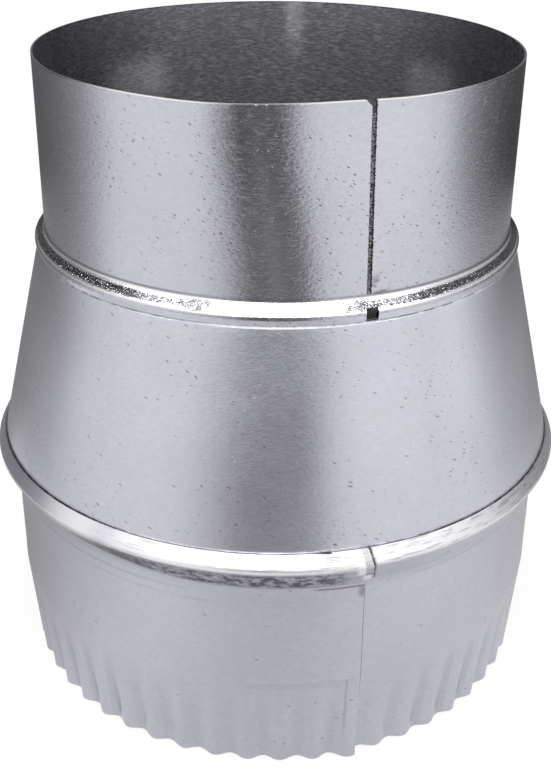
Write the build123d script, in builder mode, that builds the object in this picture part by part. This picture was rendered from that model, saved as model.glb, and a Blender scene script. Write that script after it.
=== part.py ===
# Duct adapter: a plain collar, a taper and a crimped collar, locked together at two rolled beads.
# Millimetres, +Z up, standing on the crimped rim with the duct's axis on Z and the seams towards -Y.
import os
from math import cos, degrees, radians, sin, sqrt

from build123d import *

os.makedirs("parts", exist_ok=True)

# Sheet and fits
sheet = 0.5
lock_clearance = 0.15
lap_clearance = 0.15

# Sizes across
plain_bore = 127.0
large_diameter = 154.0
upper_reach = 2.75
upper_tuck = 0.25
upper_fall = 2.4
upper_turn = 1.4
lower_reach = 5.2
lip_reach = 2.9
lip_fall = 3.0
hem_depth = 2.6
hem_reach = 0.8
neck_depth = 0.5
neck_length = 0.8

# Lengths along the axis, from the crimped rim up
crimp_length = 28.5
band_length = 29.5
lower_bead = 12.5
taper_length = 54.7
upper_bead = 4.8
plain_length = 46.5

# Bend radii on the outer face
upper_root_bend = 0.9
upper_crown_bend = 1.1
lower_crown_bend = 2.2
lower_root_bend = 6.0
hem_bend = 2.0

# Upper seam: an open line over a set-in edge
upper_seam = 19.8
slit_width = 1.1
seam_step = 0.25
tongue_left = 4.0
tongue_right = 8.0
corner_clip = 1.5
lip_notch = 3.4

# Lower seam: the left sheet's edge laps over the right sheet
lower_seam = 17.0
bead_tab = 2.1

# Crimps
crimps = 52
lap_pitches = 11
rim_crest = 2.2
rim_valley = 4.0
corner_flare = 1.6

# Heights and radii that follow
lower_root = crimp_length + band_length
lower_lip = lower_root + lower_bead
upper_lip = lower_lip + taper_length
upper_root = upper_lip + upper_bead
plain_rim = upper_root + plain_length
plain_inner = plain_bore / 2
plain_outer = plain_inner + sheet
large_outer = large_diameter / 2
bead_outer = plain_outer + upper_reach
lip_outer = large_outer + lip_reach
pitch = 360 / crimps
lap_start = lower_seam - lap_pitches * pitch

# The lapped stretch turns about a centre set back, so it rises from the ring until it clears the edge below
lap_shift = (sheet + lap_clearance) / (1 - cos(radians((lap_pitches - 1) * pitch)))


def polar(radius, azimuth):
    """Plan point at an azimuth that is 0 at the front and grows to the right."""
    return radius * sin(radians(azimuth)), -radius * cos(radians(azimuth))


def section_plane(azimuth):
    """Plane through the axis: x runs outwards, y runs up."""
    return Plane((0, 0, 0), x_dir=(*polar(1, azimuth), 0), z_dir=(*polar(1, azimuth - 90), 0))


def face_plane(azimuth, height):
    """Plane on the plain collar's outer face: x runs round to the right, y runs up, z runs outwards."""
    return Plane((*polar(plain_outer, azimuth), height), x_dir=(*polar(1, azimuth + 90), 0),
                 z_dir=(*polar(1, azimuth), 0))


def lap_radius(radius, azimuth):
    """Polar radius of a circle of the ring where the sheet laps."""
    turn = radians(azimuth - lap_start)
    return sqrt((radius + lap_shift) ** 2 - (lap_shift * sin(turn)) ** 2) - lap_shift * cos(turn)


# Upper collar: straight wall, bead turned out and down, open seam over a set-in edge
with BuildPart() as upper_collar:
    with BuildSketch(section_plane(upper_seam + 180)):
        with BuildLine():
            FilletPolyline(
                (plain_outer, plain_rim),
                (plain_outer, upper_root),
                (bead_outer, upper_root - upper_fall),
                (bead_outer, upper_lip + upper_turn),
                (bead_outer - upper_tuck, upper_lip),
                radius=[upper_root_bend, upper_crown_bend, upper_crown_bend],
            )
            offset(amount=sheet, side=Side.RIGHT)
        make_face()
    revolve(axis=Axis.Z)
    seam_bottom = upper_root + upper_root_bend
    with BuildSketch(face_plane(upper_seam, seam_bottom)):
        Rectangle(slit_width, 2 * plain_length, align=(Align.CENTER, Align.MIN))
        Polygon(
            (-slit_width / 2, plain_rim - seam_bottom - corner_clip),
            (-slit_width / 2, plain_rim - seam_bottom + corner_clip),
            (-slit_width / 2 - 2 * corner_clip, plain_rim - seam_bottom + corner_clip),
            align=None,
        )
    extrude(amount=2 * sheet, both=True, mode=Mode.SUBTRACT)
    with BuildSketch(face_plane(upper_seam, upper_lip)):
        Rectangle(lip_notch, 0.6 * upper_bead, align=(Align.CENTER, Align.MIN))
    extrude(amount=2 * upper_reach, mode=Mode.SUBTRACT)
    tongue_start = upper_seam - degrees(tongue_left / plain_outer)
    with BuildSketch(section_plane(tongue_start)):
        with Locations((plain_outer - seam_step - sheet / 2, seam_bottom)):
            Rectangle(sheet, plain_length - upper_root_bend - 2 * corner_clip, align=(Align.CENTER, Align.MIN))
    revolve(axis=Axis.Z, revolution_arc=degrees((tongue_left + tongue_right) / plain_outer))
upper_collar.part.label = "upper_collar"
export_step(upper_collar.part, "parts/upper_collar.step")

# Taper: a cone with a narrow neck under the upper bead, whose two edges turn out inside the beads
flange_tip = bead_outer - sheet - lock_clearance
flange_height = upper_lip + upper_turn
neck = bead_outer - upper_tuck - sheet - lock_clearance
cone_bottom = lip_outer - sheet - lock_clearance
hem_height = lower_lip - hem_depth
with BuildPart() as taper:
    with BuildSketch(section_plane(upper_seam + 180)):
        with BuildLine():
            FilletPolyline(
                (flange_tip, flange_height),
                (neck, flange_height),
                (neck, upper_lip),
                (neck + neck_depth, upper_lip - neck_length),
                (cone_bottom, lower_lip),
                (cone_bottom, hem_height),
                (lip_outer + hem_reach, hem_height),
                radius=[0, 0, 0, hem_bend, 0],
            )
            offset(amount=sheet, side=Side.RIGHT)
        make_face()
    revolve(axis=Axis.Z)
taper.part.label = "taper"
export_step(taper.part, "parts/taper.step")


def collar_sheet(low, high):
    """The crimped collar's sheet between two heights, cut where the lap starts."""
    with BuildSketch(section_plane(lap_start)) as cut:
        with BuildLine():
            FilletPolyline(
                (lip_outer, lower_lip),
                (large_outer + lower_reach, lower_lip - lip_fall),
                (large_outer, lower_root),
                (large_outer, crimp_length),
                radius=[lower_crown_bend, lower_root_bend],
            )
            offset(amount=sheet, side=Side.RIGHT)
        make_face()
        with Locations((large_outer, low)):
            Rectangle(large_outer, high - low, align=(Align.CENTER, Align.MIN), mode=Mode.INTERSECT)
    return cut.sketch


def crimp_outline(height, first, pitches, crest, valley, radius_at):
    """One cut across the crimped sheet. Its arcs stay separate, so that every cut has the same edges to loft."""
    swing = [(crest + valley) / 2, valley, (crest + valley) / 2, crest]
    last = 4 * pitches

    def wave(step, inset):
        azimuth = first + step * pitch / 4
        return *polar(radius_at(large_outer - swing[step % 4] - inset, azimuth), azimuth), height

    outer = [ThreePointArc(wave(n, 0), wave(n + 1, 0), wave(n + 2, 0)) for n in range(0, last, 2)]
    inner = [ThreePointArc(wave(n, sheet), wave(n - 1, sheet), wave(n - 2, sheet)) for n in range(last, 0, -2)]
    last_end = Line(wave(last, 0), wave(last, sheet))
    first_end = Line(wave(0, sheet), wave(0, 0))
    return Face(Wire([*outer, last_end, *inner, first_end]))


def ring_radius(radius, azimuth):
    """Polar radius where the sheet lies on the ring."""
    return radius


def flared_radius(radius, azimuth):
    """Polar radius at the rim of the lap, whose loose corner is sprung out."""
    return lap_radius(radius, azimuth) + corner_flare * max(0, 1 - (lower_seam - azimuth) / pitch) ** 2


# Crimped collar: bead rolled out and up round the taper, plain band, crimps, lapped seam
tab_height = lower_root + 0.1 * lower_bead
lap_axis = Axis((*polar(-lap_shift, lap_start), 0), (0, 0, 1))
base_start = lap_start - (crimps + 1 - lap_pitches) * pitch
with BuildPart() as crimped_collar:
    revolve(collar_sheet(crimp_length, lower_lip), axis=Axis((0, 0, 0), (0, 0, -1)),
            revolution_arc=lap_start - base_start)
    revolve(collar_sheet(crimp_length, tab_height), axis=lap_axis, revolution_arc=lap_pitches * pitch)
    revolve(collar_sheet(tab_height, lower_lip), axis=lap_axis, revolution_arc=lap_pitches * pitch + bead_tab)
    for first, pitches, radius_at, rim_radius_at in [
        (base_start, crimps + 1 - lap_pitches, ring_radius, ring_radius),
        (lap_start, lap_pitches, lap_radius, flared_radius),
    ]:
        loft([
            crimp_outline(crimp_length, first, pitches, 0, 0, radius_at),
            crimp_outline(0, first, pitches, rim_crest, rim_valley, rim_radius_at),
        ], ruled=True)
crimped_collar.part.label = "crimped_collar"
export_step(crimped_collar.part, "parts/crimped_collar.step")
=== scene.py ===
import bpy
import math
from mathutils import Matrix, Vector, noise


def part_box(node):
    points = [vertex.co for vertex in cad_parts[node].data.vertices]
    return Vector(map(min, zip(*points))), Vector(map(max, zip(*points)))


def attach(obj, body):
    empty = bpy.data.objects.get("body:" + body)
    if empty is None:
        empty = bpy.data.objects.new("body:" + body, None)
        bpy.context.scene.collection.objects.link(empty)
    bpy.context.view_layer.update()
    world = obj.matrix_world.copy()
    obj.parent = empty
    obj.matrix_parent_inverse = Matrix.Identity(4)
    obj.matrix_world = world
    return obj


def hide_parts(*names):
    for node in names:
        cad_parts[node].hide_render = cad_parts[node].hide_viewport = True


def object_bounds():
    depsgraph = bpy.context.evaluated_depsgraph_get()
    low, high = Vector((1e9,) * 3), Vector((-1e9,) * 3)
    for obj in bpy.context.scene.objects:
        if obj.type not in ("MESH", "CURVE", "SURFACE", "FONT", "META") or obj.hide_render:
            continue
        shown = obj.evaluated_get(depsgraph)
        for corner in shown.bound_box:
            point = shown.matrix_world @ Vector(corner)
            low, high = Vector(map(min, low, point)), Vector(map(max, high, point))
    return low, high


mm = 0.001
sheetThickness = 0.5  # mm, the same sheet throughout
sharpAngle = 42  # degrees between faces that stay sharp
lockGap = 0.15  # mm between the sheets inside a bead

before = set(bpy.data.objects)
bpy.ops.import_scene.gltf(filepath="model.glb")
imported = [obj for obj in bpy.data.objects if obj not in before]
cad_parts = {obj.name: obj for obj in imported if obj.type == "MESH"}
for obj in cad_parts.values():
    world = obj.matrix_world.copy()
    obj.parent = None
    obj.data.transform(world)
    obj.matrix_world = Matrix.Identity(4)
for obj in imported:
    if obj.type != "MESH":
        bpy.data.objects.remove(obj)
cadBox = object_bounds()
collarLow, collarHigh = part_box("upper_collar")
taperLow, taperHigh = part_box("taper")
_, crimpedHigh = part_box("crimped_collar")
print("frame loaded", [round(v / mm, 1) for v in cadBox[1] - cadBox[0]])


def clamp(value, low=0.0, high=1.0):
    return max(low, min(high, value))


def ease(low, high, value):  # soft step from 0 at low to 1 at high
    t = clamp((value - low) / (high - low))
    return t * t * (3 - 2 * t)


def hump(centre, width, value):  # soft bump, 1 at the centre
    return math.exp(-(((value - centre) / width) ** 2))


def spread(first, last, count):
    return [first + (last - first) * i / count for i in range(count + 1)]


def ringNoise(azimuth, height, turns, rise, seed):  # smooth noise that closes round the duct
    turn = math.radians(azimuth)
    return noise.noise(Vector((math.sin(turn) * turns, math.cos(turn) * turns, height / rise + seed)))


def bentLine(corners, bends, runs, turn):
    # a folded line as points: each straight run is cut into the given lengths, bends every turn degrees
    points = [Vector(corners[0])]

    def straight(end, run):
        start = points[-1]
        steps = max(1, round((end - start).length / run))
        points.extend(start.lerp(end, i / steps) for i in range(1, steps + 1))

    for before, here, after, bend, run in zip(corners, corners[1:], corners[2:], bends, runs):
        here = Vector(here)
        arrive = (here - Vector(before)).normalized()
        leave = (Vector(after) - here).normalized()
        angle = arrive.angle_signed(leave)
        side = Vector((arrive.y, -arrive.x)) * math.copysign(1, angle)
        start = here - arrive * bend * math.tan(abs(angle) / 2)
        centre = start + side * bend
        straight(start, run)
        steps = max(2, round(math.degrees(abs(angle)) / turn))
        for i in range(1, steps + 1):
            points.append(centre + Matrix.Rotation(-angle * i / steps, 2) @ (start - centre))
    straight(Vector(corners[-1]), runs[-1])
    return points


def offsetLine(points, depth):  # the same line on the sheet's inner face
    moved = []
    for i, point in enumerate(points):
        along = (points[min(i + 1, len(points) - 1)] - points[max(i - 1, 0)]).normalized()
        moved.append(point + Vector((along.y, -along.x)) * depth)
    return moved


def ringPoint(azimuth, radius, height):  # azimuth 0 is the front, growing to the right
    turn = math.radians(azimuth)
    return radius * math.sin(turn) * mm, -radius * math.cos(turn) * mm, height * mm


def rolledSheet(name, outer, inner, azimuths, shape, closed, gone=None):
    # outer and inner are section lines, shape moves each point at each azimuth, gone cuts cells out
    columns, rows = len(azimuths), len(outer)
    verts = []
    for line in (outer, inner):
        for point in line:
            verts += [ringPoint(*shape(azimuth, point.x, point.y)) for azimuth in azimuths]
    steps = columns if closed else columns - 1
    faces = []

    def isGone(row, column):
        if gone is None or not 0 <= row < rows - 1:
            return False
        height = (outer[row].y + outer[row + 1].y) / 2
        column %= columns
        return gone((azimuths[column] + azimuths[(column + 1) % columns]) / 2, height)

    def quad(a, b, c, d, flip=False):
        faces.append((d, c, b, a) if flip else (a, b, c, d))

    innerStart = rows * columns
    for row in range(rows - 1):
        for i in range(steps):
            j = (i + 1) % columns
            top, low = row * columns, (row + 1) * columns
            if not isGone(row, i):
                quad(top + i, low + i, low + j, top + j)
                continue
            if not isGone(row - 1, i):  # the four walls of a cut
                quad(top + i, innerStart + top + i, innerStart + top + j, top + j)
            if not isGone(row + 1, i):
                quad(low + i, innerStart + low + i, innerStart + low + j, low + j, True)
            if not isGone(row, i - 1):
                quad(top + i, low + i, innerStart + low + i, innerStart + top + i)
            if not isGone(row, i + 1):
                quad(top + j, low + j, innerStart + low + j, innerStart + top + j, True)
    for row in range(len(inner) - 1):
        for i in range(steps):
            if gone is None or not isGone(row, i):
                j = (i + 1) % columns
                top, low = innerStart + row * columns, innerStart + (row + 1) * columns
                quad(top + i, low + i, low + j, top + j, True)
    lastInner = innerStart + (len(inner) - 1) * columns
    for i in range(steps):
        j = (i + 1) % columns
        quad(innerStart + i, i, j, innerStart + j)
        if not isGone(rows - 2, i):
            quad((rows - 1) * columns + i, lastInner + i, lastInner + j, (rows - 1) * columns + j)
    if not closed:  # the sheet's two cut ends, stitched from the top down
        for column in (0, columns - 1):
            a = b = 0
            while a < rows - 1 or b < len(inner) - 1:
                here, there = a * columns + column, innerStart + b * columns + column
                if b == len(inner) - 1 or (a < rows - 1 and outer[a + 1].y >= inner[b + 1].y):
                    a += 1
                    face = (here, a * columns + column, there)
                else:
                    b += 1
                    face = (here, innerStart + b * columns + column, there)
                faces.append(face if column else face[::-1])
    mesh = bpy.data.meshes.new(name)
    mesh.from_pydata(verts, [], faces)
    mesh.shade_smooth()
    mesh.set_sharp_from_angle(angle=math.radians(sharpAngle))
    piece = bpy.data.objects.new(name, mesh)
    bpy.context.scene.collection.objects.link(piece)
    return piece


def addNode(tree, kind, **values):
    node = tree.nodes.new(kind)
    for key, value in values.items():
        setattr(node, key, value)
    return node


def plug(tree, value, socket):  # a link or a plain value
    if hasattr(value, "is_output"):
        tree.links.new(value, socket)
    else:
        socket.default_value = value


def mathNode(tree, operation, a, b=None, clampIt=False):
    node = addNode(tree, "ShaderNodeMath", operation=operation, use_clamp=clampIt)
    plug(tree, a, node.inputs[0])
    if b is not None:
        plug(tree, b, node.inputs[1])
    return node.outputs[0]


def stepNode(tree, value, low, high, fromValue=0.0, toValue=1.0):  # soft step between two values
    node = addNode(tree, "ShaderNodeMapRange", interpolation_type="SMOOTHSTEP")
    keys = ("Value", "From Min", "From Max", "To Min", "To Max")
    for key, number in zip(keys, (value, low, high, fromValue, toValue)):
        plug(tree, number, node.inputs[key])
    return node.outputs["Result"]


def stepAt(tree, value, base, edges, *levels):  # a step whose two edges are measured from a base
    return stepNode(tree, value, *[base + edge for edge in edges], *levels)


def bandNode(tree, value, rise, full, fade, end):  # 0 outside, 1 between full and fade
    return productNode(tree, stepNode(tree, value, rise, full), stepNode(tree, value, fade, end, 1.0, 0.0))


def bandAt(tree, value, base, edges):  # a band whose four edges are measured from a base
    return bandNode(tree, value, *[base + edge for edge in edges])


def productNode(tree, *masks):
    result = masks[0]
    for mask in masks[1:]:
        result = mathNode(tree, "MULTIPLY", result, mask)
    return result


def paintNode(tree, base, mask, colour):  # a colour laid over another by a mask
    node = addNode(tree, "ShaderNodeMix", data_type="RGBA", blend_type="MIX")
    plug(tree, mask, node.inputs[0])
    plug(tree, base, node.inputs[6])
    plug(tree, colour, node.inputs[7])
    return node.outputs[2]


def mixNode(tree, base, mask, value):  # the same for plain values
    node = addNode(tree, "ShaderNodeMix", data_type="FLOAT")
    plug(tree, mask, node.inputs[0])
    plug(tree, base, node.inputs[2])
    plug(tree, value, node.inputs[3])
    return node.outputs[0]


def ringAxes(tree):  # azimuth in degrees, height and radius in mm at the shaded point
    coord = addNode(tree, "ShaderNodeTexCoord")
    split = addNode(tree, "ShaderNodeSeparateXYZ")
    tree.links.new(coord.outputs["Object"], split.inputs[0])
    front = mathNode(tree, "MULTIPLY", split.outputs["Y"], -1.0)
    turn = mathNode(tree, "ARCTAN2", split.outputs["X"], front)
    azimuth = mathNode(tree, "MULTIPLY", turn, 180 / math.pi)
    height = mathNode(tree, "MULTIPLY", split.outputs["Z"], 1 / mm)
    squares = [mathNode(tree, "POWER", side, 2.0) for side in (split.outputs["X"], front)]
    radius = mathNode(tree, "MULTIPLY", mathNode(tree, "SQRT", mathNode(tree, "ADD", *squares)), 1 / mm)
    return azimuth, height, radius


def innerFace(tree):  # 1 on the sheet's inner face
    coord = addNode(tree, "ShaderNodeTexCoord")
    flat = addNode(tree, "ShaderNodeVectorMath", operation="MULTIPLY")
    flat.inputs[1].default_value = (1, 1, 0)
    tree.links.new(coord.outputs["Object"], flat.inputs[0])
    facing = addNode(tree, "ShaderNodeVectorMath", operation="DOT_PRODUCT")
    tree.links.new(flat.outputs[0], facing.inputs[0])
    tree.links.new(addNode(tree, "ShaderNodeNewGeometry").outputs["True Normal"], facing.inputs[1])
    return mathNode(tree, "LESS_THAN", facing.outputs["Value"], 0.0)


def newGroup(name, inputs, outputs):
    group = bpy.data.node_groups.new(name, "ShaderNodeTree")
    for label, value in inputs.items():
        socket = group.interface.new_socket(label, in_out="INPUT", socket_type="NodeSocketFloat")
        socket.default_value = value
    for label in outputs:
        group.interface.new_socket(label, in_out="OUTPUT", socket_type="NodeSocketFloat")
    inside, outside = addNode(group, "NodeGroupInput"), addNode(group, "NodeGroupOutput")
    return group, inside.outputs, outside.inputs


def placeGroup(tree, group, values):
    node = addNode(tree, "ShaderNodeGroup", node_tree=group)
    for label, value in values.items():
        node.inputs[label].default_value = value
    return node.outputs


# rolling grain: noise drawn out round the duct, fine from top to bottom
grainGroup, grainIn, grainOut = newGroup(
    "rollingGrain", {"Lines per mm": 3.0, "Length mm": 6.0, "Detail": 3.0}, ["Height", "Shade"]
)
grainCoord = addNode(grainGroup, "ShaderNodeTexCoord")
grainSplit = addNode(grainGroup, "ShaderNodeSeparateXYZ")
grainGroup.links.new(grainCoord.outputs["Object"], grainSplit.inputs[0])
lengthScale = mathNode(grainGroup, "DIVIDE", 1 / mm, grainIn["Length mm"])
lineScale = mathNode(grainGroup, "MULTIPLY", grainIn["Lines per mm"], 1 / mm)
grainJoin = addNode(grainGroup, "ShaderNodeCombineXYZ")
for axis, scale in (("X", lengthScale), ("Y", lengthScale), ("Z", lineScale)):
    plug(grainGroup, mathNode(grainGroup, "MULTIPLY", grainSplit.outputs[axis], scale), grainJoin.inputs[axis])
grainNoise = addNode(grainGroup, "ShaderNodeTexNoise")
grainNoise.inputs["Scale"].default_value = 1.0
grainNoise.inputs["Roughness"].default_value = 0.6
grainGroup.links.new(grainJoin.outputs[0], grainNoise.inputs["Vector"])
grainGroup.links.new(grainIn["Detail"], grainNoise.inputs["Detail"])
grainGroup.links.new(grainNoise.outputs["Fac"], grainOut["Height"])
plug(grainGroup, stepNode(grainGroup, grainNoise.outputs["Fac"], 0.35, 0.65), grainOut["Shade"])

# flecks: short dark dashes in the zinc that lie a little aslant and come in clusters
fleckGroup, fleckIn, fleckOut = newGroup(
    "zincFlecks", {"Cell mm": 3.0, "Share": 0.3, "Size": 0.2, "Stretch": 3.0, "Slant": 20.0}, ["Mask"]
)
fleck = {
    "middleRadius": 72.0,  # mm, where a cell is as long as its setting says
    "wobbleScale": 900.0,
    "wobble": 0.9,
    "clusterScale": 45.0,
    "clusterSteps": (0.42, 0.64, 0.2, 2.2),
    "sizeSteps": (0.0, 1.0, 0.4, 1.0),
    "depthSteps": (0.0, 1.0, 0.25, 1.0),
    "edgeSteps": (0.4, 1.2, 1.0, 0.0),
}
fleckAzimuth, fleckHeight, _ = ringAxes(fleckGroup)
fleckArc = mathNode(fleckGroup, "MULTIPLY", fleckAzimuth, math.radians(fleck["middleRadius"]))
fleckTurn = mathNode(fleckGroup, "RADIANS", fleckIn["Slant"])
slantSine, slantCosine = [mathNode(fleckGroup, kind, fleckTurn) for kind in ("SINE", "COSINE")]
fleckAlong = mathNode(
    fleckGroup,
    "SUBTRACT",
    productNode(fleckGroup, fleckArc, slantCosine),
    productNode(fleckGroup, fleckHeight, slantSine),
)
fleckAcross = mathNode(
    fleckGroup,
    "ADD",
    productNode(fleckGroup, fleckArc, slantSine),
    productNode(fleckGroup, fleckHeight, slantCosine),
)
fleckCoord = addNode(fleckGroup, "ShaderNodeTexCoord")
fleckWobble, fleckCluster = [addNode(fleckGroup, "ShaderNodeTexNoise") for part in range(2)]
for part, scale in ((fleckWobble, fleck["wobbleScale"]), (fleckCluster, fleck["clusterScale"])):
    part.inputs["Scale"].default_value = scale
    fleckGroup.links.new(fleckCoord.outputs["Object"], part.inputs["Vector"])
fleckSwing = mathNode(fleckGroup, "SUBTRACT", fleckWobble.outputs["Fac"], 0.5)
fleckBend = mathNode(fleckGroup, "MULTIPLY", fleckSwing, fleck["wobble"])
fleckJoin = addNode(fleckGroup, "ShaderNodeCombineXYZ")
fleckRow = mathNode(fleckGroup, "DIVIDE", mathNode(fleckGroup, "ADD", fleckAcross, fleckBend), fleckIn["Cell mm"])
plug(fleckGroup, mathNode(fleckGroup, "DIVIDE", fleckAlong, fleckIn["Cell mm"]), fleckJoin.inputs["X"])
plug(fleckGroup, productNode(fleckGroup, fleckRow, fleckIn["Stretch"]), fleckJoin.inputs["Y"])
fleckCells = addNode(fleckGroup, "ShaderNodeTexVoronoi", voronoi_dimensions="2D")
fleckCells.inputs["Scale"].default_value = 1.0
fleckGroup.links.new(fleckJoin.outputs[0], fleckCells.inputs["Vector"])
fleckTone = addNode(fleckGroup, "ShaderNodeSeparateColor")
fleckGroup.links.new(fleckCells.outputs["Color"], fleckTone.inputs[0])
pick, size, depth = fleckTone.outputs
fleckClusters = stepNode(fleckGroup, fleckCluster.outputs["Fac"], *fleck["clusterSteps"])
fleckChosen = mathNode(fleckGroup, "LESS_THAN", pick, productNode(fleckGroup, fleckIn["Share"], fleckClusters))
fleckReach = productNode(fleckGroup, fleckIn["Size"], stepNode(fleckGroup, size, *fleck["sizeSteps"]))
fleckNear = mathNode(fleckGroup, "DIVIDE", fleckCells.outputs["Distance"], fleckReach)
fleckMask = productNode(
    fleckGroup,
    stepNode(fleckGroup, fleckNear, *fleck["edgeSteps"]),
    fleckChosen,
    stepNode(fleckGroup, depth, *fleck["depthSteps"]),
)
plug(fleckGroup, fleckMask, fleckOut["Mask"])

# film: slow changes in the zinc's dullness
filmGroup, filmIn, filmOut = newGroup("zincFilm", {"Patch mm": 22.0, "Contrast": 1.0}, ["Mask"])
filmCoord = addNode(filmGroup, "ShaderNodeTexCoord")
filmNoise = addNode(filmGroup, "ShaderNodeTexNoise")
filmNoise.inputs["Detail"].default_value = 5.0
filmNoise.inputs["Roughness"].default_value = 0.62
filmGroup.links.new(filmCoord.outputs["Object"], filmNoise.inputs["Vector"])
plug(filmGroup, mathNode(filmGroup, "DIVIDE", 1 / mm, filmIn["Patch mm"]), filmNoise.inputs["Scale"])
filmSwing = productNode(filmGroup, mathNode(filmGroup, "SUBTRACT", filmNoise.outputs["Fac"], 0.5), filmIn["Contrast"])
plug(filmGroup, mathNode(filmGroup, "ADD", filmSwing, 0.5, clampIt=True), filmOut["Mask"])
print("finish groups built")


def galvanisedMaterial(settings, details):
    material = bpy.data.materials.new(settings["name"])
    material.use_nodes = True
    tree = material.node_tree
    shader = tree.nodes["Principled BSDF"]
    shader.inputs["Metallic"].default_value = 1.0
    shader.inputs["Anisotropic"].default_value = settings["anisotropy"]
    shader.inputs["Anisotropic Rotation"].default_value = settings["anisotropyTurn"]
    tangent = addNode(tree, "ShaderNodeTangent", direction_type="RADIAL", axis="Z")
    tree.links.new(tangent.outputs[0], shader.inputs["Tangent"])
    grain = placeGroup(tree, grainGroup, settings["grain"])
    streaks = placeGroup(tree, grainGroup, settings["streaks"])
    flecks = placeGroup(tree, fleckGroup, settings["flecks"])
    film = placeGroup(tree, filmGroup, settings["film"])
    colour = paintNode(tree, settings["darkZinc"], film["Mask"], settings["lightZinc"])
    colour = paintNode(tree, colour, productNode(tree, streaks["Shade"], settings["streakTint"]), settings["darkZinc"])
    colour = paintNode(tree, colour, productNode(tree, grain["Shade"], settings["grainTint"]), settings["darkZinc"])
    colour = paintNode(tree, colour, productNode(tree, flecks["Mask"], settings["fleckTint"]), settings["fleckColour"])
    rough = stepNode(tree, film["Mask"], 0.0, 1.0, *settings["roughness"])
    rough = mathNode(tree, "ADD", rough, productNode(tree, grain["Shade"], settings["grainRoughness"]))
    height = productNode(tree, grain["Height"], settings["grainHeight"])
    height = mathNode(tree, "SUBTRACT", height, productNode(tree, flecks["Mask"], settings["fleckDepth"]))
    colour, rough, height = details(tree, colour, rough, height)
    bump = addNode(tree, "ShaderNodeBump")
    bump.inputs["Distance"].default_value = mm  # heights are in mm
    plug(tree, height, bump.inputs["Height"])
    tree.links.new(bump.outputs["Normal"], shader.inputs["Normal"])
    plug(tree, colour, shader.inputs["Base Color"])
    plug(tree, rough, shader.inputs["Roughness"])
    return material


zinc = {  # shared by the three sheets, each changes a few values
    "anisotropy": 0.6,
    "anisotropyTurn": 0.25,  # the grain runs round, so highlights spread up and down
    "darkZinc": (0.50, 0.50, 0.555, 1),
    "lightZinc": (0.66, 0.66, 0.73, 1),
    "roughness": (0.22, 0.29),
    "grain": {"Lines per mm": 2.2, "Length mm": 1.1, "Detail": 2.0},
    "grainHeight": 0.07,
    "grainRoughness": 0.05,
    "streaks": {"Lines per mm": 0.9, "Length mm": 2.0, "Detail": 6.0},
    "streakTint": 0.4,
    "grainTint": 0.3,
    "flecks": {"Cell mm": 2.8, "Share": 0.2, "Size": 0.25, "Stretch": 2.8, "Slant": 26.0},
    "fleckTint": 0.7,
    "fleckColour": (0.12, 0.12, 0.13, 1),
    "fleckDepth": 0.03,
    "film": {"Patch mm": 26.0, "Contrast": 0.9},
}
# painted shade: the near-black laid into gaps, grooves and hidden corners
paintedShadeColour = (0.03, 0.03, 0.032, 1)

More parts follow.
